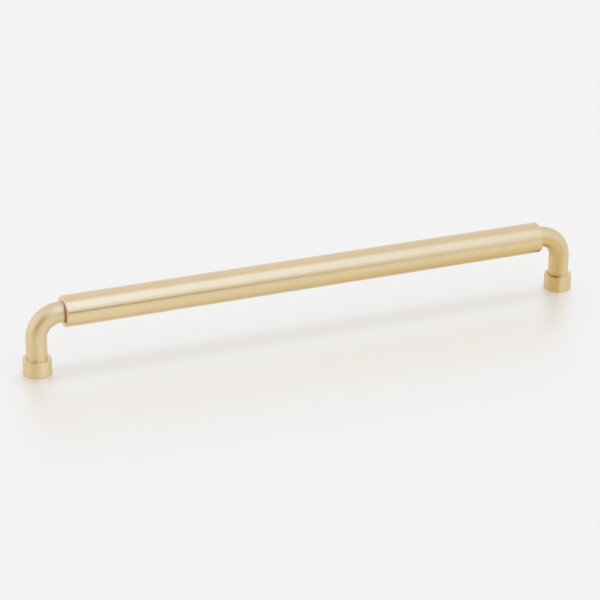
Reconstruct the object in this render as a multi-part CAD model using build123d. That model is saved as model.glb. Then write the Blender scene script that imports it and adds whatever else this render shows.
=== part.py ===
from build123d import *
import math
import os

# Overall sizes, in millimetres
hole_spacing = 256.0  # between the two fixing screws
projection = 34.6  # mounting face to the top of the grip

# Bent rod of the two elbow posts
rod_diameter = 9.4
bend_radius = 11.0  # at the rod's centre line
leg_reveal = 1.25  # straight rod seen between the bend and the grip

# Grip bar
grip_wall = 2.4  # metal round the rod at the ends of the grip
grip_edge_radius = 0.7
socket_depth = 10.0  # how far each leg reaches into the grip
mouth_chamfer = 0.15  # edge of each socket

# Foot collars
collar_wall = 1.7
collar_height = 7.3
collar_top_radius = 0.35
collar_base_radius = 0.25
collar_mouth_chamfer = 0.1
ledge_height = 3.0  # inner ledge that the post stands on
ledge_width = 1.2
foot_recess = 0.2  # the post ends this far above the mounting face

# Tapped hole for the fixing screw, an M4 drilled with its tap drill
screw_hole_diameter = 3.3
screw_hole_depth = 14.0

# Set screw that joins each leg to the grip, M5
joining_screw_diameter = 5.0
joining_screw_length = 16.0
joining_screw_point = 0.8  # chamfer at both ends
hex_socket_width = 2.5  # across flats
hex_socket_depth = 2.8
tap_run_out = 1.0  # spare depth at the end of each joining hole

# Workshop allowances
slip_clearance = 0.03  # round every piece that goes into another
lead_in = 0.4  # chamfer on an end that goes into a bore
drill_point_angle = 118.0
tap_countersink = 0.5  # chamfer at the mouth of each tapped hole

# Places that follow from the sizes
rod_radius = rod_diameter / 2
grip_radius = rod_radius + grip_wall
collar_radius = rod_radius + collar_wall
spigot_radius = rod_radius - ledge_width
axis_height = projection - grip_radius
post_x = hole_spacing / 2
grip_end_x = post_x - bend_radius - leg_reveal
socket_floor_x = grip_end_x - socket_depth
socket_radius = rod_radius + slip_clearance
joining_screw_radius = joining_screw_diameter / 2
joining_hole_radius = joining_screw_radius + slip_clearance
joining_hole_depth = joining_screw_length / 2 + tap_run_out


def turned(outline, rounded=()):
    """Solid turned about X from corners (place along the axis, radius), with some corners rounded."""
    profile = make_face(Polyline(*outline, close=True))
    for corner, radius in rounded:
        profile = fillet(profile.vertices().sort_by_distance((*corner, 0))[:1], radius)
    return revolve(profile, Axis.X)


def tapped(radius, depth):
    """Cutter for a tapped hole along X from the origin, with a chamfered mouth and a drill point."""
    mouth_radius = radius + tap_countersink
    point = radius / math.tan(math.radians(drill_point_angle / 2))
    return turned(
        [(0, 0), (0, mouth_radius), (tap_countersink, radius), (depth, radius), (depth + point, 0)]
    )


def upright(piece, x, z):
    """Turned piece stood on end over a foot, with its X along +Z."""
    return Pos(x, 0, z) * Rot(0, -90, 0) * piece


def grip_bar():
    """Solid bar with rounded end edges, and at each end a socket for the leg and a tapped hole."""
    bar = turned(
        [(-grip_end_x, 0), (-grip_end_x, grip_radius), (grip_end_x, grip_radius), (grip_end_x, 0)],
        [((-grip_end_x, grip_radius), grip_edge_radius), ((grip_end_x, grip_radius), grip_edge_radius)],
    )
    mouth_radius = socket_radius + mouth_chamfer
    socket = turned(
        [(0, 0), (0, mouth_radius), (mouth_chamfer, socket_radius), (socket_depth, socket_radius), (socket_depth, 0)]
    )
    joining_hole = Pos(socket_depth, 0, 0) * tapped(joining_hole_radius, joining_hole_depth)
    left_end = Pos(-grip_end_x, 0, 0) * (socket + joining_hole)
    right_end = mirror(left_end, about=Plane.YZ)
    return Pos(0, 0, axis_height) * (bar - left_end - right_end)


def left_elbow_post():
    """Rod bent once: its leg ends on the socket's floor, its post on the collar's ledge."""
    leg_end = Vector(-socket_floor_x, 0, axis_height)
    corner = Vector(-post_x, 0, axis_height)
    shoulder = Vector(-post_x, 0, ledge_height)
    path = FilletPolyline(leg_end, corner, shoulder, radius=bend_radius)
    rod = sweep(Plane(leg_end, z_dir=corner - leg_end) * Circle(rod_radius), path=path)
    rod = chamfer(rod.edges().filter_by(GeomType.CIRCLE).sort_by(Axis.X)[-1], lead_in)

    spigot_length = ledge_height - foot_recess
    spigot = turned(
        [
            (0, 0),
            (0, spigot_radius - lead_in),
            (lead_in, spigot_radius),
            (spigot_length, spigot_radius),
            (spigot_length, 0),
        ]
    )
    screw_hole = tapped(screw_hole_diameter / 2, screw_hole_depth)
    joining_hole = tapped(joining_hole_radius, joining_hole_depth)
    post = rod + upright(spigot, -post_x, foot_recess)
    post = post - upright(screw_hole, -post_x, foot_recess)
    return post - Pos(leg_end) * Rot(0, 0, 180) * joining_hole


def left_foot_collar():
    """Ring under the post, with a ledge inside that the screw draws the post down on."""
    bore_radius = rod_radius + slip_clearance
    ledge_radius = spigot_radius + slip_clearance
    ring = turned(
        [
            (0, ledge_radius),
            (0, collar_radius),
            (collar_height, collar_radius),
            (collar_height, bore_radius + collar_mouth_chamfer),
            (collar_height - collar_mouth_chamfer, bore_radius),
            (ledge_height, bore_radius),
            (ledge_height, ledge_radius),
        ],
        [((0, collar_radius), collar_base_radius), ((collar_height, collar_radius), collar_top_radius)],
    )
    return upright(ring, -post_x, 0)


def left_joining_screw():
    """Set screw, half in the leg and half in the grip, with a hexagon socket at its grip end."""
    half = joining_screw_length / 2
    tip_radius = joining_screw_radius - joining_screw_point
    shank = turned(
        [
            (-half, 0),
            (-half, tip_radius),
            (joining_screw_point - half, joining_screw_radius),
            (half - joining_screw_point, joining_screw_radius),
            (half, tip_radius),
            (half, 0),
        ]
    )
    hexagon = Plane((half, 0, 0), z_dir=(-1, 0, 0)) * RegularPolygon(hex_socket_width / 2, 6, major_radius=False)
    return Pos(-socket_floor_x, 0, axis_height) * (shank - extrude(hexagon, hex_socket_depth))


def main():
    os.makedirs("parts", exist_ok=True)
    export_step(grip_bar(), "parts/grip_bar.step")
    for name, make in (
        ("elbow_post", left_elbow_post),
        ("foot_collar", left_foot_collar),
        ("joining_screw", left_joining_screw),
    ):
        left = make()
        export_step(left, f"parts/left_{name}.step")
        export_step(mirror(left, about=Plane.YZ), f"parts/right_{name}.step")


main()
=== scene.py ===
"""Satin brass cabinet pull: a thick turned grip on two bent rods, each with a turned collar at its foot."""

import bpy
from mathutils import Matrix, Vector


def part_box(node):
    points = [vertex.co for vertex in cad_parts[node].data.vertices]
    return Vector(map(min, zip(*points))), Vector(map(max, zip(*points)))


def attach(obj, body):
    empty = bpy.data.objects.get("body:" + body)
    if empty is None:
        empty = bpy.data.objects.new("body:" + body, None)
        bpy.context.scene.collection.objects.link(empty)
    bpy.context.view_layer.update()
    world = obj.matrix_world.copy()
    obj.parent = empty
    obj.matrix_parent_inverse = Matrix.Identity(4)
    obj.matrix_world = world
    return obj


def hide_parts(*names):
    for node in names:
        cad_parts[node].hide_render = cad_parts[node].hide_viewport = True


bl_info = {
    "name": "Satin brass cabinet pull",
    "version": (1, 0, 0),
    "blender": (4, 5, 0),
    "location": "3D View > Sidebar > Pull",
    "description": "Builds a brass cabinet pull over its solids, with its satin finish and a pale studio",
    "category": "Object",
}

import math
from collections import namedtuple

import bmesh
import bpy
from bpy.props import FloatProperty, FloatVectorProperty, IntProperty, PointerProperty
from mathutils import Matrix, Vector

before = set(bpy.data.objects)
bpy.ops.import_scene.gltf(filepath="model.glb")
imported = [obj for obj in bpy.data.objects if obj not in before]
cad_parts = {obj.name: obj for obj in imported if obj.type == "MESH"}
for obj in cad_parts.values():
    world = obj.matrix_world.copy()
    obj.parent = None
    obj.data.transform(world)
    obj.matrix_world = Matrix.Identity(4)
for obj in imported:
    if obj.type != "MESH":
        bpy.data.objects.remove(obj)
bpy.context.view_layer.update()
grip_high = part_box("grip_bar")[1]
collar_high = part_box("left_foot_collar")[1]

MM = 0.001
TURN = 2 * math.pi
DEGREES = 360 / TURN  # in one radian

# How finely the meshes are divided
BEND_RINGS = 48
POST_RINGS = 10
GRIP_RINGS = 60
COLLAR_RINGS = 12
HEXAGON_RINGS = 6
RINGS_PER_PITCH = 12
ROUNDING_RINGS = 10
BASE_ROUNDING_RINGS = 6
PLAIN_GRIP = 0.5 * MM  # the grip's plain rings start this far inside its rounded edges
PLAIN_POST = 2 * MM  # the posts' plain rings end this far above the collars
SHARP_ANGLE = math.radians(40)  # steeper edges keep a crisp shade

# Narrow flats beside an edge, which keep its shading off the faces next to it
GRIP_FLAT = 0.08 * MM
COLLAR_FLAT = 0.06 * MM
FOOT_FLAT = 0.1 * MM
ROD_FLAT = 0.05 * MM

# Brushing lies as if every piece had this radius
BRUSHED_RADIUS = 5 * MM

DRILL_POINT = math.radians(59)  # half of the point's angle
THREAD_START = 0.25  # share of the thread's depth at the mouth of a tapped hole

# Painted shade and painted highlight round the joints: places of their rings, how far they reach and how
# strong they are
NEAR_JOINT = [distance * MM for distance in (0.0, 0.1, 0.2, 0.3, 0.4, 0.5, 0.6, 0.75, 0.9, 1.1)]
BEHIND_JOINT = 0.3 * MM
JOINT_SHADE_ON_GRIP = 2.6 * MM
JOINT_SHADE_ON_ROD = 0.65 * MM
ROD_JOINT_SHADE = 0.35
HIGHLIGHT_ON_ROD = 0.9 * MM
HIGHLIGHT_DEEP = 2.6
HIGHLIGHT_MOUTH = 1.4
HIGHLIGHT_TOP = 0.6

# Heights between which the painted highlight and painted shade of a post give way to those of its bend
POST_PAINT_END = 13.0 * MM
BEND_PAINT_START = 19.0 * MM

SENSOR_WIDTH = 36.0
CLIP_START = 10 * MM
FLOOR_DROP = 0.02 * MM  # keeps the floor clear of the feet


def length(name, description, default):
    """A size in metres that shows in the sidebar."""
    return FloatProperty(
        name=name,
        description=description,
        default=default,
        min=0.0,
        precision=5,
        subtype="DISTANCE",
        unit="LENGTH",
    )


def colour(name, description, default):
    """A linear colour that shows in the sidebar."""
    return FloatVectorProperty(
        name=name, description=description, default=default, min=0.0, max=4.0, size=3, subtype="COLOR"
    )


def amount(name, description, default, top=1.0):
    """A plain number that shows in the sidebar."""
    return FloatProperty(name=name, description=description, default=default, min=0.0, max=top)


def angle(name, description, degrees):
    """An angle that shows in the sidebar in degrees."""
    return FloatProperty(
        name=name, description=description, default=math.radians(degrees), subtype="ANGLE"
    )


class PULL_PG_sizes(bpy.types.PropertyGroup):
    """Sizes of the pull's pieces, as the solids have them."""

    grip_end: length("Grip end", "From the middle of the pull to each end of the grip", grip_high.x)
    grip_radius: length("Grip radius", "Half the grip's thickness", 7.1 * MM)
    grip_edge: length("Grip edge", "Rounding of the grip's end edges", 0.7 * MM)
    axis_height: length("Axis height", "Mounting face to the grip's centre line", 27.5 * MM)
    socket_depth: length("Socket depth", "How far each leg reaches into the grip", 10.0 * MM)
    socket_mouth: length("Socket mouth", "Chamfer at the mouth of each socket", 0.15 * MM)
    post_place: length("Post place", "From the middle of the pull to each post", 128.0 * MM)
    rod_radius: length("Rod radius", "Half the bent rod's thickness", 4.7 * MM)
    bend_radius: length("Bend radius", "Radius of the bend at the rod's centre line", 11.0 * MM)
    collar_radius: length("Collar radius", "Half the collar's width", 6.4 * MM)
    collar_height: length("Collar height", "Height of the collar", collar_high.z)
    collar_top_edge: length("Collar top edge", "Rounding of the collar's upper edge", 0.35 * MM)
    collar_base_edge: length("Collar base edge", "Rounding of the collar's lower edge", 0.25 * MM)
    collar_mouth: length("Collar mouth", "Chamfer where the rod enters the collar", 0.1 * MM)
    ledge_height: length("Ledge height", "Height of the ledge that the post stands on", 3.0 * MM)
    ledge_width: length("Ledge width", "Width of the ledge that the post stands on", 1.2 * MM)
    foot_recess: length("Foot recess", "How far the post ends above the mounting face", 0.2 * MM)
    clearance: length("Clearance", "Room round a piece that goes into another", 0.03 * MM)
    lead_in: length("Lead-in", "Chamfer on an end that goes into a bore", 0.4 * MM)
    countersink: length("Countersink", "Chamfer at the mouth of each tapped hole", 0.5 * MM)
    fixing_hole_radius: length("Fixing hole radius", "Tap drill radius of the holes in the feet", 1.65 * MM)
    fixing_hole_depth: length("Fixing hole depth", "Drilled depth of the holes in the feet", 14.0 * MM)
    fixing_pitch: length("Fixing pitch", "Thread pitch of the holes in the feet", 0.7 * MM)
    fixing_thread: length("Fixing thread", "Thread depth of the holes in the feet", 0.36 * MM)
    joining_radius: length("Joining screw radius", "Outer thread radius of the set screws", 2.5 * MM)
    joining_length: length("Joining screw length", "Length of the set screws", 16.0 * MM)
    joining_point: length("Joining screw point", "Chamfer at both ends of the set screws", 0.8 * MM)
    joining_hole_depth: length("Joining hole depth", "Drilled depth for half of a set screw", 9.0 * MM)
    joining_pitch: length("Joining pitch", "Thread pitch of the set screws", 0.8 * MM)
    joining_thread: length("Joining thread", "Thread depth of the set screws", 0.42 * MM)
    hexagon_flat: length("Hexagon flat", "Half the width across flats of the set screws' sockets", 1.25 * MM)
    hexagon_depth: length("Hexagon depth", "Depth of the set screws' sockets", 2.8 * MM)
    facets: IntProperty(name="Facets", description="Faces round each piece", default=96, min=24, max=192)


class PULL_PG_finish(bpy.types.PropertyGroup):
    """Colours and finish of the brass and the steel."""

    brass: colour("Brass", "Satin brass", (0.805, 0.637, 0.358))
    # Deep brass goes to random cloudy patches, and to a painted shade that deepens towards the right end
    brass_deep: colour("Deep brass", "Brass where the lacquer is thicker", (0.765, 0.59, 0.305))
    # Painted shade: darker, warmer brass under the grip towards its right end, and a painted dark reflection
    # streak on the inner side of the right post and bend
    brass_shade: colour("Amber brass", "Brass where lacquer has gathered", (0.711, 0.519, 0.226))
    # Painted highlight: lighter brass on the inner side of the left post and its collar
    brass_highlight: colour("Lighter brass", "Brass where the lacquer is wiped thin", (0.875, 0.71, 0.43))
    brass_worn: colour("Worn brass", "Brass rubbed bright along edges and fine lines", (0.85, 0.72, 0.48))
    # Painted highlight: pale colour in the collars' mouths and at the rods' feet, where the brass is also
    # less metallic
    mouth_highlight: colour("Highlight", "Pale polish dried in the mouths of the collars", (0.98, 0.86, 0.60))
    # Painted shade: dark brown in the joints of rods and grip, strongest on their front, and in a spot in
    # each collar's mouth
    joint_shade: colour("Shade", "Brown stain of old polish in the joints", (0.30, 0.12, 0.0))
    grip_roughness: amount("Grip roughness", "Softness of the reflections in the grip", 0.21)
    rod_roughness: amount("Rod roughness", "Softness of the reflections in the bent rods", 0.36)
    collar_roughness: amount("Collar roughness", "Softness of the reflections in the collars", 0.32)
    grip_brushing: length("Grip brushing", "Depth of the fine lines round the grip", 0.012 * MM)
    rod_brushing: length("Rod brushing", "Depth of the fine lines round the rods and collars", 0.028 * MM)
    steel: colour("Steel", "Plain machined steel", (0.55, 0.55, 0.56))
    steel_oil: colour("Oiled steel", "Steel darkened by oil between the threads", (0.24, 0.23, 0.22))
    steel_roughness: amount("Steel roughness", "Softness of the steel's reflections", 0.34)
    steel_marks: length("Steel marks", "Depth of the turning marks in the steel", 0.02 * MM)


class PULL_PG_studio(bpy.types.PropertyGroup):
    """Camera, floor and light of the studio."""

    azimuth: angle("Azimuth", "Camera's direction round the pull", -22.39)
    elevation: angle("Elevation", "Camera's height above the floor", 24.02)
    roll: angle("Roll", "Camera's tilt about its own axis", 0.377)
    distance: length("Distance", "From the camera to what it looks at", 1.0767)
    aim: FloatVectorProperty(
        name="Aim",
        description="Point that the camera looks at",
        default=(-4.04 * MM, 0.0, 14.8 * MM),
        subtype="TRANSLATION",
        unit="LENGTH",
    )
    lens: FloatProperty(
        name="Lens", description="Focal length in millimetres on a 36 mm sensor", default=142.5, min=1.0
    )
    floor: colour("Floor", "Pale floor", (0.82, 0.705, 0.527))
    backdrop: colour("Backdrop", "Brightness of the floor where no shadow falls", (0.896, 0.896, 0.896))
    floor_glow: amount("Floor glow", "Share of the floor's brightness that takes no shadow", 0.45)
    floor_sheen: amount("Floor sheen", "Share of soft reflection in the floor, seen at a flat angle", 0.72)
    floor_sheen_colour: colour("Floor sheen colour", "Tint of the floor's soft reflection", (1.0, 0.99, 0.85))
    floor_roughness: amount("Floor roughness", "Softness of the floor's reflection", 0.4)
    floor_size: length("Floor size", "Width of the floor", 8.0)
    tent: colour("Tent", "White walls and roof round the pull", (0.885, 0.90, 1.05))
    softbox: colour("Softbox", "Cool light high in front", (1.13, 1.34, 1.95))
    side_panel: colour("Side panel", "White panels to the left and right", (1.0, 1.03, 1.28))
    opening: colour("Opening", "Warm, dim opening in the front of the tent", (0.53, 0.39, 0.12))
    gap: colour("Gap", "Dark gap between the floor and the softbox", (0.22, 0.11, 0.0))
    lamp: amount("Lamp", "Strength of the lamp that casts the shadow", 1.15, 5.0)
    lamp_colour: colour("Lamp colour", "Tint of the lamp that casts the shadow", (0.65, 1.0, 1.7))
    lamp_size: angle("Lamp size", "How wide the lamp looks from the pull, which softens the shadow", 16)
    lamp_direction: FloatVectorProperty(
        name="Lamp direction",
        description="From the pull to the lamp",
        default=(0.35, 0.12, 0.93),
        subtype="DIRECTION",
    )


class Graph:
    """One node tree. Values from it are used in plain expressions."""

    def __init__(self, tree):
        self.tree = tree
        tree.nodes.clear()

    def node(self, kind, settings=None, inputs=None, output=0):
        """Adds a node, sets it up, fills its sockets with values or links, and gives one of its outputs."""
        made = self.tree.nodes.new(kind)
        for name, value in (settings or {}).items():
            setattr(made, name, value)
        for name, value in (inputs or {}).items():
            socket = made.inputs[name]
            if isinstance(value, Value):
                self.tree.links.new(value.socket, socket)
            elif socket.type == "RGBA":
                socket.default_value = (*value, 1.0)
            else:
                socket.default_value = value
        if not made.outputs:
            return made
        return Value(self, made.outputs[output])

    def math(self, operation, *terms):
        """One Math node on values or numbers."""
        return self.node("ShaderNodeMath", {"operation": operation}, dict(enumerate(terms)))

    def vector(self, operation, *terms):
        """One Vector Math node on vectors."""
        return self.node("ShaderNodeVectorMath", {"operation": operation}, dict(enumerate(terms)))

    def axes(self, vector):
        """The X, Y and Z of a vector."""
        return [self.node("ShaderNodeSeparateXYZ", {}, {"Vector": vector}, output=axis) for axis in "XYZ"]

    def mix(self, factor, first, second):
        """Colour between two colours, by a factor from 0 to 1."""
        return self.node(
            "ShaderNodeMix", {"data_type": "RGBA"}, {"Factor": factor, 6: first, 7: second}, output=2
        )

    def step(self, value, low, high):
        """Smooth rise from 0 to 1 between low and high, or fall where low is the larger."""
        return self.node(
            "ShaderNodeMapRange",
            {"interpolation_type": "SMOOTHSTEP"},
            {"Value": value, "From Min": low, "From Max": high, "To Min": 0.0, "To Max": 1.0},
        )

    def band(self, value, start, full, fading, end):
        """Smooth rise from 0 at start to 1 at full, and back from 1 at fading to 0 at end."""
        return self.step(value, start, full) * self.step(value, end, fading)

    def noise(self, place, scale, detail):
        """Soft noise from 0 to 1, stretched by a scale for each direction."""
        return self.node(
            "ShaderNodeTexNoise",
            {"noise_dimensions": "3D"},
            {"Vector": self.vector("MULTIPLY", place, scale), "Scale": 1.0, "Detail": detail},
            output="Fac",
        )

    def mark(self, name, output):
        """A mark that skin left on each vertex of the mesh."""
        return self.node("ShaderNodeAttribute", {"attribute_name": name}, output=output)


class Value:
    """An output socket that adds Math nodes when it is used in an expression."""

    def __init__(self, graph, socket):
        self.graph = graph
        self.socket = socket

    def __add__(self, other):
        return self.graph.math("ADD", self, other)

    def __radd__(self, other):
        return self.graph.math("ADD", other, self)

    def __sub__(self, other):
        return self.graph.math("SUBTRACT", self, other)

    def __rsub__(self, other):
        return self.graph.math("SUBTRACT", other, self)

    def __mul__(self, other):
        return self.graph.math("MULTIPLY", self, other)

    def __rmul__(self, other):
        return self.graph.math("MULTIPLY", other, self)

    def __neg__(self):
        return self.graph.math("MULTIPLY", self, -1.0)


Ring = namedtuple("Ring", "along radius edge corner", defaults=(0.0, 0.0))


def skin(name, path, rings, facets, looped=False):
    """Closed mesh of rings along a path, from one point on the axis to another, or looped to its first ring.

    A ring's radius is a length or a function of the turn from 0 to 1. Each vertex keeps its place in the
    brushing (lay), how worn it is, up to 1 on a rounded edge, or above 1 how strong the painted highlight is
    on it (edge), and how near it is to the joint of rod and grip, which sets the painted shade there
    (corner).
    """
    form = bmesh.new()
    lay = form.verts.layers.float_vector.new("lay")
    edge = form.verts.layers.float.new("edge")
    corner = form.verts.layers.float.new("corner")
    rows = []
    travelled = 0.0
    before = None
    for ring in rings:
        centre, side, up = path(ring.along)
        size = ring.radius(0.0) if callable(ring.radius) else ring.radius
        if before:
            travelled += math.hypot(ring.along - before[0], size - before[1])
        before = (ring.along, size)
        row = []
        for step in range(facets if size > 0 else 1):
            turn = step / facets
            reach = ring.radius(turn) if callable(ring.radius) else ring.radius
            across, rise = math.cos(TURN * turn), math.sin(TURN * turn)
            vertex = form.verts.new(centre + reach * (across * side + rise * up))
            vertex[lay] = (travelled, BRUSHED_RADIUS * across, BRUSHED_RADIUS * rise)
            vertex[edge] = ring.edge
            vertex[corner] = ring.corner
            row.append(vertex)
        rows.append(row)
    pairs = list(zip(rows, rows[1:]))
    if looped:
        pairs.append((rows[-1], rows[0]))
    for first, second in pairs:
        for step in range(facets):
            following = (step + 1) % facets
            corners = [first[step % len(first)], first[following % len(first)]]
            corners += [second[following % len(second)], second[step % len(second)]]
            form.faces.new(list(dict.fromkeys(corners)))
    bmesh.ops.recalc_face_normals(form, faces=form.faces)
    mesh = bpy.data.meshes.new(name)
    form.to_mesh(mesh)
    form.free()
    mesh.shade_smooth()
    mesh.set_sharp_from_angle(angle=SHARP_ANGLE)
    piece = bpy.data.objects.new(name, mesh)
    bpy.context.scene.collection.objects.link(piece)
    return piece


def fit(piece, node, material):
    """Puts a piece in the place of its solid."""
    piece.data.materials.append(material)
    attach(piece, "root")
    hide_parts(node)


def straight_x(side, height):
    """Path along X at a height, away from the middle of the pull: side is -1 to the left, 1 to the right."""

    def place(along):
        return Vector((side * along, 0, height)), Vector((0, 1, 0)), Vector((0, 0, side))

    return place


def upright(x):
    """Path straight up from the floor."""

    def place(along):
        return Vector((x, 0, along)), Vector((1, 0, 0)), Vector((0, 1, 0))

    return place


def elbow_path(side, sizes):
    """Path of a bent rod from the leg's end in the grip, round the bend and down to the floor.

    Returns it with its distances to the start and the end of the bend, counted from the middle of the pull.
    """
    bend_start = sizes.post_place - sizes.bend_radius
    bend_end = bend_start + sizes.bend_radius * TURN / 4
    bend_height = sizes.axis_height - sizes.bend_radius

    def place(along):
        if along <= bend_start:
            centre, heading = (side * along, 0, sizes.axis_height), (side, 0, 0)
        elif along >= bend_end:
            centre, heading = (side * sizes.post_place, 0, bend_height - (along - bend_end)), (0, 0, -1)
        else:
            swing = (along - bend_start) / sizes.bend_radius
            across = bend_start + sizes.bend_radius * math.sin(swing)
            centre = (side * across, 0, bend_height + sizes.bend_radius * math.cos(swing))
            heading = (side * math.cos(swing), 0, -math.sin(swing))
        across_rod = Vector((0, 1, 0))
        return Vector(centre), across_rod, Vector(heading).cross(across_rod)

    return place, bend_start, bend_end


def thread(along, pitch, outer, depth):
    """Radius of a right-hand thread at a place along its axis, for each turn."""
    return lambda turn: outer - depth * (0.5 - 0.5 * math.cos(TURN * (along / pitch - turn)))


def spread(start, end, count):
    """Places from start to end, the end left out."""
    return [start + (end - start) * step / count for step in range(count)]


def nearness(distance, reach):
    """1 in a joint, falling to 0 at a distance from it."""
    return max(0.0, 1.0 - distance / reach)


Tap = namedtuple("Tap", "radius depth pitch outer groove")


def joining_tap(sizes):
    """Hole for half of a set screw, in the grip or in a leg."""
    hole = sizes.joining_radius + sizes.clearance
    return Tap(hole, sizes.joining_hole_depth, sizes.joining_pitch, hole, sizes.joining_thread)


def fixing_tap(sizes):
    """Hole in a foot for the screw that fixes the pull."""
    outer = sizes.fixing_hole_radius + sizes.fixing_thread
    return Tap(
        sizes.fixing_hole_radius, sizes.fixing_hole_depth, sizes.fixing_pitch, outer, sizes.fixing_thread
    )


def tapped_hole(mouth, inward, tap, countersink):
    """Rings of a tapped hole from its drill point to its mouth. inward is the direction into the metal."""
    radius, depth, pitch = tap.radius, tap.depth, tap.pitch
    point = radius / math.tan(DRILL_POINT)
    rings = [Ring(mouth + inward * (depth + point), 0.0), Ring(mouth + inward * depth, radius)]
    threaded = depth - countersink - pitch
    last = threaded + countersink
    for deep in spread(last, countersink, round(threaded / pitch * RINGS_PER_PITCH)):
        fade = min(1.0, (last - deep) / pitch, (deep - countersink) / pitch + THREAD_START)
        along = mouth + inward * deep
        rings.append(
            Ring(along, thread(along, pitch, radius + fade * (tap.outer - radius), fade * tap.groove))
        )
    rings.append(Ring(mouth + inward * countersink, radius))
    rings.append(Ring(mouth, radius + countersink))
    return rings


def rounding(along, radius, size, start, end, steps=ROUNDING_RINGS):
    """Rings of a rounded edge about a centre (along, radius), from one angle to another in degrees."""
    rings = []
    for step in range(steps + 1):
        share = step / steps
        swing = math.radians(start + (end - start) * share)
        worn = math.sin(math.pi * share) ** 0.5
        rings.append(Ring(along + size * math.cos(swing), radius + size * math.sin(swing), edge=worn))
    return rings


def mirrored(radius):
    """A ring's radius for the other end of the grip, where the turn is counted the other way."""
    return (lambda turn: radius(-turn)) if callable(radius) else radius


def grip_rings(sizes):
    """Outline of the grip from the drill point in its left end to the one in its right end."""
    end, edge = sizes.grip_end, sizes.grip_edge
    floor = end - sizes.socket_depth
    socket = sizes.rod_radius + sizes.clearance
    mouth = socket + sizes.socket_mouth
    face = sizes.grip_radius - edge
    half = tapped_hole(floor, -1, joining_tap(sizes), sizes.countersink)
    half += [Ring(floor, socket), Ring(end - sizes.socket_mouth, socket, corner=1.0)]
    rim = [Ring(end, mouth + away) for away in NEAR_JOINT]
    rim += [Ring(end, face - GRIP_FLAT), *rounding(end - edge, face, edge, 0, 90)]
    half += [ring._replace(corner=nearness(ring.radius - mouth, JOINT_SHADE_ON_GRIP)) for ring in rim]
    half.append(Ring(end - edge - GRIP_FLAT, sizes.grip_radius))
    run = end - edge - PLAIN_GRIP
    middle = [Ring(-place, sizes.grip_radius) for place in spread(run, -run, GRIP_RINGS)]
    left = [Ring(-ring.along, mirrored(ring.radius), ring.edge, ring.corner) for ring in half]
    return left + middle + half[::-1]


def elbow_rings(sizes, bend_start, bend_end):
    """Outline of a bent rod from the drill point in its leg to the one in its foot."""
    leg_end = sizes.grip_end - sizes.socket_depth
    ground = bend_end + (sizes.axis_height - sizes.bend_radius)
    shoulder = ground - sizes.ledge_height
    foot = ground - sizes.foot_recess
    collar_top = ground - sizes.collar_height
    rod = sizes.rod_radius
    spigot = rod - sizes.ledge_width
    rings = tapped_hole(leg_end, 1, joining_tap(sizes), sizes.countersink)
    rings += [Ring(leg_end, rod - sizes.lead_in), Ring(leg_end + sizes.lead_in, rod)]
    places = {leg_end + sizes.lead_in + ROD_FLAT, shoulder - ROD_FLAT}
    places |= {sizes.grip_end + away for away in NEAR_JOINT} | {sizes.grip_end - BEHIND_JOINT}
    places |= set(spread(bend_start, bend_end, BEND_RINGS))
    places |= set(spread(bend_end, collar_top - PLAIN_POST, POST_RINGS))
    places |= {collar_top - away for away in NEAR_JOINT} | {collar_top + BEHIND_JOINT}
    for along in sorted(places):
        # Painted shade on the rod beside the grip's face, and painted highlight at the rod's foot in the
        # collar
        joint_shade = ROD_JOINT_SHADE * nearness(abs(along - sizes.grip_end), JOINT_SHADE_ON_ROD)
        mouth_highlight = HIGHLIGHT_DEEP * nearness(abs(along - collar_top), HIGHLIGHT_ON_ROD)
        rings.append(Ring(along, rod, edge=mouth_highlight, corner=joint_shade))
    rings += [Ring(shoulder, rod), Ring(shoulder, spigot)]
    rings += [Ring(foot - sizes.lead_in, spigot), Ring(foot, spigot - sizes.lead_in)]
    return rings + tapped_hole(foot, -1, fixing_tap(sizes), sizes.countersink)[::-1]


def collar_rings(sizes):
    """Outline of a collar, once round from the inside of its foot."""
    bore = sizes.rod_radius + sizes.clearance
    ledge = bore - sizes.ledge_width
    top, outer = sizes.collar_height, sizes.collar_radius
    base, edge = sizes.collar_base_edge, sizes.collar_top_edge
    wall_end = top - edge - COLLAR_FLAT
    rings = [Ring(0.0, ledge), Ring(0.0, ledge + FOOT_FLAT), Ring(0.0, outer - base - FOOT_FLAT)]
    rings += rounding(base, outer - base, base, 180, 90, BASE_ROUNDING_RINGS)
    rings += [Ring(place, outer) for place in spread(base + COLLAR_FLAT, wall_end, COLLAR_RINGS)]
    rings.append(Ring(wall_end, outer))
    rings += rounding(top - edge, outer - edge, edge, 90, 0)
    # Painted highlight grows from the collar's top into its mouth
    rings.append(Ring(top, outer - edge - COLLAR_FLAT, edge=HIGHLIGHT_TOP))
    rings.append(Ring(top, bore + sizes.collar_mouth, edge=HIGHLIGHT_MOUTH))
    rings.append(Ring(top - sizes.collar_mouth, bore, edge=HIGHLIGHT_DEEP))
    rings += [Ring(sizes.ledge_height, bore), Ring(sizes.ledge_height, ledge)]
    return rings


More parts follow.
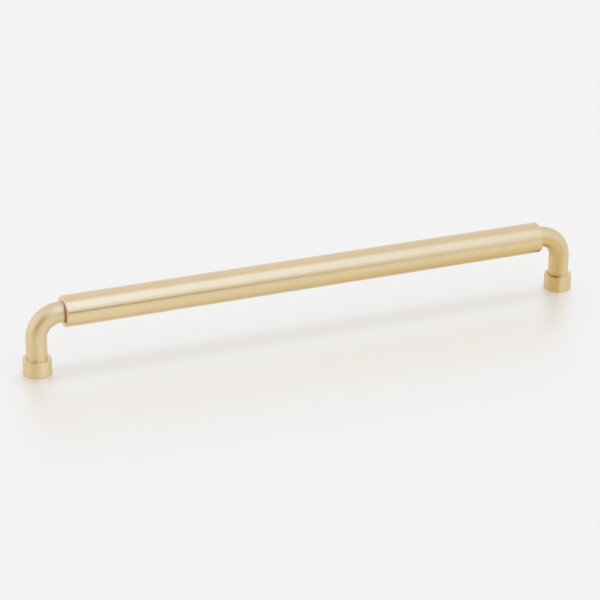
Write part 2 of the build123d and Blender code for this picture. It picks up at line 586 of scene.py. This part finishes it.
def screw_rings(sizes):
    """Outline of a set screw, from the hexagon socket at its grip end to its end in the leg."""
    middle = sizes.grip_end - sizes.socket_depth
    near, far = middle - sizes.joining_length / 2, middle + sizes.joining_length / 2
    socket_floor = near + sizes.hexagon_depth
    tip = sizes.joining_radius - sizes.joining_point

    def hexagon(turn):
        return sizes.hexagon_flat / math.cos((turn * TURN) % (TURN / 6) - TURN / 12)

    def shank(along):
        cut = tip + min(along - near, far - along)
        cutting = thread(along, sizes.joining_pitch, sizes.joining_radius, sizes.joining_thread)
        return lambda turn: min(cut, cutting(turn))

    rings = [Ring(socket_floor, 0.0)]
    rings += [Ring(place, hexagon) for place in spread(socket_floor, near, HEXAGON_RINGS)]
    rings += [Ring(near, hexagon), Ring(near, tip)]
    count = round(sizes.joining_length / sizes.joining_pitch * RINGS_PER_PITCH)
    rings += [Ring(along, shank(along)) for along in spread(near, far, count)[1:]]
    rings += [Ring(far, tip), Ring(far, 0.0)]
    return rings


def new_material(name):
    """A material and its empty node tree."""
    material = bpy.data.materials.new(name)
    material.use_nodes = True
    return material, Graph(material.node_tree)


Point = namedtuple("Point", "along side level edge corner right_half off_post on_collar")


def surface_point(graph, place, sizes):
    """What the brass knows of a point: its place along, across and above the pull, its marks, whether it is
    on the right half, how far along it lies from the post of its half, and whether it is on a collar."""
    along, side, level = graph.axes(place)
    right_half = graph.step(along, -1.0 * MM, 1.0 * MM)
    off_post = along + sizes.post_place - 2 * sizes.post_place * right_half
    # Fades over the collar's top edge
    on_collar = graph.step(level, sizes.collar_height + 0.7 * MM, sizes.collar_height - 0.5 * MM)
    edge, corner = graph.mark("edge", "Fac"), graph.mark("corner", "Fac")
    return Point(along, side, level, edge, corner, right_half, off_post, on_collar)


def painted_highlight_left_post(graph, point):
    """How strong the painted highlight is: on the inner side of the left post, and most on its collar."""
    inner_side = graph.band(point.off_post, -0.9 * MM, 0.8 * MM, 3.6 * MM, 4.9 * MM)
    below_bend = graph.step(point.level, BEND_PAINT_START, POST_PAINT_END)
    return inner_side * (0.5 + 0.5 * point.on_collar) * below_bend * (1.0 - point.right_half)


def painted_shade_and_streak(graph, point, sizes):
    """How strong the painted shade is: under the grip towards its right end, and as a painted dark
    reflection streak on the inner side of the right rod and collar and inside the right bend.
    """
    most_on_grip, least_on_post = 0.8, 0.45
    under = graph.step(point.level, sizes.axis_height + 0.7 * MM, sizes.axis_height - 2.5 * MM)
    under = most_on_grip * graph.step(point.along, -100.0 * MM, 100.0 * MM) * under

    collar_shift = 2.1 * MM  # the collar is wider, so its inner side lies further in
    along = point.along + collar_shift * point.on_collar
    thin_edge = graph.step(along, sizes.post_place - 4.8 * MM, sizes.post_place - 2.2 * MM)
    in_bend = graph.step(point.level, POST_PAINT_END, BEND_PAINT_START)
    on_post = least_on_post + (1.0 - least_on_post) * thin_edge
    # Strength of the painted reflection streak: weaker at the post's inner edge, full in the bend
    thickness = graph.math("MAXIMUM", on_post, in_bend)

    bend_height = sizes.axis_height - sizes.bend_radius
    out = graph.math("MAXIMUM", along - (sizes.post_place - sizes.bend_radius), 0.0)
    up = graph.math("MAXIMUM", point.level - bend_height, 0.0)
    from_bend_centre = graph.math("SQRT", out * out + up * up)
    # Reaches further out round the bend than on the post
    wider = 0.9 * MM * graph.step(point.level, bend_height, bend_height + 5.5 * MM)
    inside = graph.step(from_bend_centre - wider, sizes.bend_radius + 0.9 * MM, sizes.bend_radius - 0.7 * MM)

    past_grip = graph.step(point.along, sizes.grip_end - 0.05 * MM, sizes.grip_end + 0.75 * MM)
    return under * (1.0 - past_grip) + thickness * inside * past_grip


def painted_highlight_and_shade(graph, point, patchiness, sizes):
    """How strong the painted highlight is, a pale, less metallic colour in the collars' mouths, and how
    strong the
    painted shade is, a dark brown: in a spot at the front of each mouth, and on the front of the grip's ends
    where the rods enter."""
    right_shift = 1.6 * MM  # the right spot lies further round
    spot = graph.band(
        point.off_post + right_shift * point.right_half, -2.9 * MM, -2.0 * MM, -1.7 * MM, -0.8 * MM
    )
    # Painted highlight: pale colour in the collars' mouths, left out in the spot
    highlight_share = graph.step(point.edge, 1.0, HIGHLIGHT_DEEP) * (1.0 - 0.85 * spot)

    # Painted shade in the joint of rod and grip, strongest on its front, where the crease lies in shade
    front = graph.step(point.side, -2.0 * MM, -4.4 * MM)
    front = front * graph.step(point.level, sizes.axis_height - 5.0 * MM, sizes.axis_height - 3.2 * MM)
    joint_shade_share = point.corner * (0.8 + 0.4 * patchiness) * (0.05 + front)
    # Painted shade: a dark spot in each collar's mouth, strongest on the right
    mouth_spot_shade = spot * graph.step(point.edge, 1.2, HIGHLIGHT_DEEP) * (0.15 + 0.75 * point.right_half)
    return highlight_share, graph.math("MAXIMUM", graph.step(joint_shade_share, 0.1, 0.6), mouth_spot_shade)


def satin_brass(name, sizes, finish, roughness, brushing):
    """Satin brass, brushed round the bar, with worn edges and uneven lacquer, and with painted highlights,
    painted shade and a painted reflection streak.
    """
    material, graph = new_material(name)
    lay = graph.mark("lay", "Vector")
    place = graph.node("ShaderNodeTexCoord", output="Object")
    point = surface_point(graph, place, sizes)
    hairlines = graph.noise(lay, (9000, 70, 70), 3.0)
    strokes = graph.noise(lay, (2200, 110, 110), 2.0)
    cloud = graph.noise(place, (75, 75, 75), 3.0)
    patchiness = graph.noise(place, (420, 420, 420), 2.0)
    highlight_share, joint_shade = painted_highlight_and_shade(graph, point, patchiness, sizes)

    cloudy = graph.step(0.7 * cloud + 0.3 * strokes, 0.38, 0.68)
    # Random cloudy patches of deeper brass, and a painted shade that grows deeper and warmer towards the
    # right end
    lacquer = 0.45 * cloudy + 0.55 * graph.step(point.along, -40.0 * MM, 140.0 * MM)
    tone = graph.mix(lacquer, finish.brass, finish.brass_deep)
    for share, layer in (
        (0.3 * graph.step(hairlines, 0.52, 0.8), finish.brass_worn),
        (point.edge * (0.25 + 0.3 * strokes), finish.brass_worn),
        # painted highlight on the inner side of the left post
        (painted_highlight_left_post(graph, point), finish.brass_highlight),
        # painted highlight in the collars' mouths
        (highlight_share, finish.mouth_highlight),
        # painted shade under the grip and painted reflection streak on the right rod
        (painted_shade_and_streak(graph, point, sizes), finish.brass_shade),
        # painted shade in the joints and in the collars' mouths
        (joint_shade, finish.joint_shade),
    ):
        tone = graph.mix(share, tone, layer)

    # The painted highlight and the painted shade are less metallic
    metal = 1.0 - 0.65 * highlight_share - 0.9 * joint_shade
    rough = roughness - 0.05 + 0.06 * hairlines + 0.04 * strokes + 0.02 * cloud
    rough = rough - 0.03 * point.edge + 0.05 * joint_shade
    height = 0.65 * hairlines + 0.35 * strokes
    bump = graph.node(
        "ShaderNodeBump", {}, {"Strength": 1.0, "Distance": brushing, "Height": height}, output="Normal"
    )
    shader = graph.node(
        "ShaderNodeBsdfPrincipled",
        {},
        {"Base Color": tone, "Metallic": metal, "Roughness": rough, "Normal": bump},
    )
    graph.node("ShaderNodeOutputMaterial", {}, {"Surface": shader})
    return material


def machined_steel(name, finish):
    """Plain steel with fine turning marks and oil left between the threads."""
    material, graph = new_material(name)
    place = graph.node("ShaderNodeTexCoord", output="Object")
    marks = graph.noise(graph.mark("lay", "Vector"), (12000, 90, 90), 2.0)
    oil = graph.step(graph.noise(place, (900, 900, 900), 3.0), 0.42, 0.72)
    tone = graph.mix(0.7 * oil, finish.steel, finish.steel_oil)
    rough = finish.steel_roughness - 0.05 + 0.1 * marks - 0.08 * oil
    bump = graph.node(
        "ShaderNodeBump",
        {},
        {"Strength": 0.12, "Distance": finish.steel_marks, "Height": marks},
        output="Normal",
    )
    shader = graph.node(
        "ShaderNodeBsdfPrincipled",
        {},
        {"Base Color": tone, "Metallic": 1.0, "Roughness": rough, "Normal": bump},
    )
    graph.node("ShaderNodeOutputMaterial", {}, {"Surface": shader})
    return material


def pale_floor(name, studio):
    """Pale satin floor that keeps the pull's shadow, and lets a camera below it see the feet."""
    material, graph = new_material(name)
    camera, glossy, through = [
        graph.node("ShaderNodeLightPath", output=kind)
        for kind in ("Is Camera Ray", "Is Glossy Ray", "Is Transmission Ray")
    ]
    seen = graph.math("MINIMUM", camera + glossy + through, 1.0)
    matt = graph.node("ShaderNodeBsdfDiffuse", {}, {"Color": studio.floor})
    glow = graph.node("ShaderNodeEmission", {}, {"Color": studio.backdrop, "Strength": 1.0})
    surface = graph.node("ShaderNodeMixShader", {}, {0: seen * studio.floor_glow, 1: matt, 2: glow})
    sheen = graph.node(
        "ShaderNodeBsdfGlossy", {}, {"Color": studio.floor_sheen_colour, "Roughness": studio.floor_roughness}
    )
    grazing = graph.node("ShaderNodeLayerWeight", {}, {"Blend": 0.5}, output="Facing")
    surface = graph.node("ShaderNodeMixShader", {}, {0: grazing * studio.floor_sheen, 1: surface, 2: sheen})
    below = graph.node("ShaderNodeNewGeometry", output="Backfacing")
    clear = graph.node("ShaderNodeBsdfTransparent")
    surface = graph.node("ShaderNodeMixShader", {}, {0: below, 1: surface, 2: clear})
    graph.node("ShaderNodeOutputMaterial", {}, {"Surface": surface})
    return material


def light_tent(world, studio):
    """White tent round the pull: side panels, a cool softbox high in front, a warm opening, a dark gap.

    Places are given across (-1 left, 1 right), in depth (-1 front, 1 back) and in height (1 straight up), and
    in degrees: rise above the floor in front, and bearing to the right of straight in front.
    """
    world.use_nodes = True
    graph = Graph(world.node_tree)
    direction = graph.node("ShaderNodeTexCoord", output="Generated")
    across, depth, height = graph.axes(direction)
    rise = graph.math("ARCTAN2", height, -depth) * DEGREES
    bearing = graph.math("ARCTAN2", across, -depth) * DEGREES

    left_panel = graph.step(across, -0.3, -0.8) * graph.step(height, 0.95, 0.6)
    right_panel = graph.step(across, 0.45, 0.75) * graph.step(depth, 0.35, -0.1)
    right_panel = right_panel * graph.step(height, 0.8, 0.6)
    softbox = graph.band(rise, -6.0, 47.0, 80.0, 91.0) * graph.band(across, -0.24, 0.02, 0.2, 0.7)
    opening = graph.band(bearing, -80.0, -45.0, -28.0, 0.0) * graph.step(height, 0.9, 0.4)
    slit = graph.band(across, 0.26, 0.35, 0.35, 0.41) * graph.step(rise, 42.0, 22.0)
    gap = graph.band(across, 0.05, 0.2, 0.25, 0.37) * graph.step(rise, 19.0, 4.0)
    gap = gap * graph.step(depth, 0.0, -0.4)
    tone = studio.tent
    for share, light in (
        (left_panel, studio.side_panel),
        (0.6 * right_panel, studio.side_panel),
        (softbox, studio.softbox),
        (opening, studio.opening),
        (0.55 * slit, studio.opening),
        (gap, studio.gap),
    ):
        tone = graph.mix(share, tone, light)
    background = graph.node("ShaderNodeBackground", {}, {"Color": tone, "Strength": 1.0})
    graph.node("ShaderNodeOutputWorld", {}, {"Surface": background})


def studio_floor(studio):
    """Wide floor just under the feet."""
    half = studio.floor_size / 2
    corners = [(x * half, y * half, -FLOOR_DROP) for x, y in ((-1, -1), (1, -1), (1, 1), (-1, 1))]
    mesh = bpy.data.meshes.new("studio_floor")
    mesh.from_pydata(corners, [], [(0, 1, 2, 3)])
    mesh.materials.append(pale_floor("pale_floor", studio))
    floor = bpy.data.objects.new("studio_floor", mesh)
    bpy.context.scene.collection.objects.link(floor)


def shadow_lamp(studio):
    """Overhead lamp that casts the shadow and doesn't show in the brass."""
    sun = bpy.data.lights.new("shadow_lamp", "SUN")
    sun.energy = studio.lamp
    sun.color = studio.lamp_colour
    sun.angle = studio.lamp_size
    lamp = bpy.data.objects.new("shadow_lamp", sun)
    bpy.context.scene.collection.objects.link(lamp)
    lamp.rotation_euler = Vector(studio.lamp_direction).to_track_quat("Z", "Y").to_euler()
    lamp.visible_glossy = False


def studio_camera(studio):
    """Camera at the photograph's viewing angle."""
    flat = math.cos(studio.elevation)
    back = Vector(
        (math.sin(studio.azimuth) * flat, -math.cos(studio.azimuth) * flat, math.sin(studio.elevation))
    )
    level = Vector((0, 0, 1)).cross(back).normalized()
    rise = back.cross(level)
    right = math.cos(studio.roll) * level + math.sin(studio.roll) * rise
    up = math.cos(studio.roll) * rise - math.sin(studio.roll) * level
    lens = bpy.data.cameras.new("studio_camera")
    lens.sensor_width = SENSOR_WIDTH
    lens.lens = studio.lens
    lens.clip_start = CLIP_START
    camera = bpy.data.objects.new("studio_camera", lens)
    bpy.context.scene.collection.objects.link(camera)
    turned = Matrix((right, up, back)).transposed().to_4x4()
    camera.matrix_world = Matrix.Translation(Vector(studio.aim) + studio.distance * back) @ turned
    return camera


class PULL_OT_grip(bpy.types.Operator):
    """Builds the turned grip with a socket and a tapped hole in each end"""

    bl_idname = "pull.grip"
    bl_label = "Grip"

    def execute(self, context):
        sizes, finish = context.scene.pull_sizes, context.scene.pull_finish
        path = straight_x(1, sizes.axis_height)
        piece = skin("turned_grip", path, grip_rings(sizes), sizes.facets)
        brass = satin_brass("satin_brass_grip", sizes, finish, finish.grip_roughness, finish.grip_brushing)
        fit(piece, "grip_bar", brass)
        return {"FINISHED"}


class PULL_OT_elbows(bpy.types.Operator):
    """Builds the two bent rods that carry the grip"""

    bl_idname = "pull.elbows"
    bl_label = "Bent rods"

    def execute(self, context):
        sizes, finish = context.scene.pull_sizes, context.scene.pull_finish
        brass = satin_brass("satin_brass_rod", sizes, finish, finish.rod_roughness, finish.rod_brushing)
        for side, name in ((-1, "left"), (1, "right")):
            path, bend_start, bend_end = elbow_path(side, sizes)
            piece = skin(f"{name}_bent_rod", path, elbow_rings(sizes, bend_start, bend_end), sizes.facets)
            fit(piece, f"{name}_elbow_post", brass)
        return {"FINISHED"}


class PULL_OT_collars(bpy.types.Operator):
    """Builds the two turned collars at the feet"""

    bl_idname = "pull.collars"
    bl_label = "Foot collars"

    def execute(self, context):
        sizes, finish = context.scene.pull_sizes, context.scene.pull_finish
        brass = satin_brass("satin_brass_collar", sizes, finish, finish.collar_roughness, finish.rod_brushing)
        for side, name in ((-1, "left"), (1, "right")):
            path = upright(side * sizes.post_place)
            piece = skin(f"{name}_turned_collar", path, collar_rings(sizes), sizes.facets, looped=True)
            fit(piece, f"{name}_foot_collar", brass)
        return {"FINISHED"}


class PULL_OT_joining_screws(bpy.types.Operator):
    """Builds the two hidden set screws that join the rods to the grip"""

    bl_idname = "pull.joining_screws"
    bl_label = "Joining screws"

    def execute(self, context):
        sizes, finish = context.scene.pull_sizes, context.scene.pull_finish
        steel = machined_steel("steel_screw", finish)
        for side, name in ((-1, "left"), (1, "right")):
            path = straight_x(side, sizes.axis_height)
            piece = skin(f"{name}_set_screw", path, screw_rings(sizes), sizes.facets)
            fit(piece, f"{name}_joining_screw", steel)
        return {"FINISHED"}


class PULL_OT_studio(bpy.types.Operator):
    """Sets up the pale floor, the soft light and the camera"""

    bl_idname = "pull.studio"
    bl_label = "Studio"

    def execute(self, context):
        scene, studio = context.scene, context.scene.pull_studio
        studio_floor(studio)
        scene.world = bpy.data.worlds.new("light_tent")
        light_tent(scene.world, studio)
        shadow_lamp(studio)
        scene.camera = studio_camera(studio)
        scene.view_settings.view_transform = "Standard"
        return {"FINISHED"}


class PULL_PT_sidebar(bpy.types.Panel):
    """Lists the pull's sizes, finish and pieces"""

    bl_idname = "PULL_PT_sidebar"
    bl_label = "Cabinet pull"
    bl_space_type = "VIEW_3D"
    bl_region_type = "UI"
    bl_category = "Pull"

    def draw(self, context):
        for group in (context.scene.pull_sizes, context.scene.pull_finish, context.scene.pull_studio):
            box = self.layout.box()
            for name in group.__annotations__:
                box.prop(group, name)
        for operator in OPERATORS:
            self.layout.operator(operator.bl_idname)


OPERATORS = (PULL_OT_grip, PULL_OT_elbows, PULL_OT_collars, PULL_OT_joining_screws, PULL_OT_studio)
CLASSES = (PULL_PG_sizes, PULL_PG_finish, PULL_PG_studio, *OPERATORS, PULL_PT_sidebar)


def register():
    for each in CLASSES:
        bpy.utils.register_class(each)
    bpy.types.Scene.pull_sizes = PointerProperty(type=PULL_PG_sizes)
    bpy.types.Scene.pull_finish = PointerProperty(type=PULL_PG_finish)
    bpy.types.Scene.pull_studio = PointerProperty(type=PULL_PG_studio)


def unregister():
    del bpy.types.Scene.pull_sizes
    del bpy.types.Scene.pull_finish
    del bpy.types.Scene.pull_studio
    for each in reversed(CLASSES):
        bpy.utils.unregister_class(each)


def main():
    register()
    bpy.ops.pull.grip()
    bpy.ops.pull.elbows()
    bpy.ops.pull.collars()
    bpy.ops.pull.joining_screws()
    bpy.ops.pull.studio()


if __name__ == "__main__":
    main()
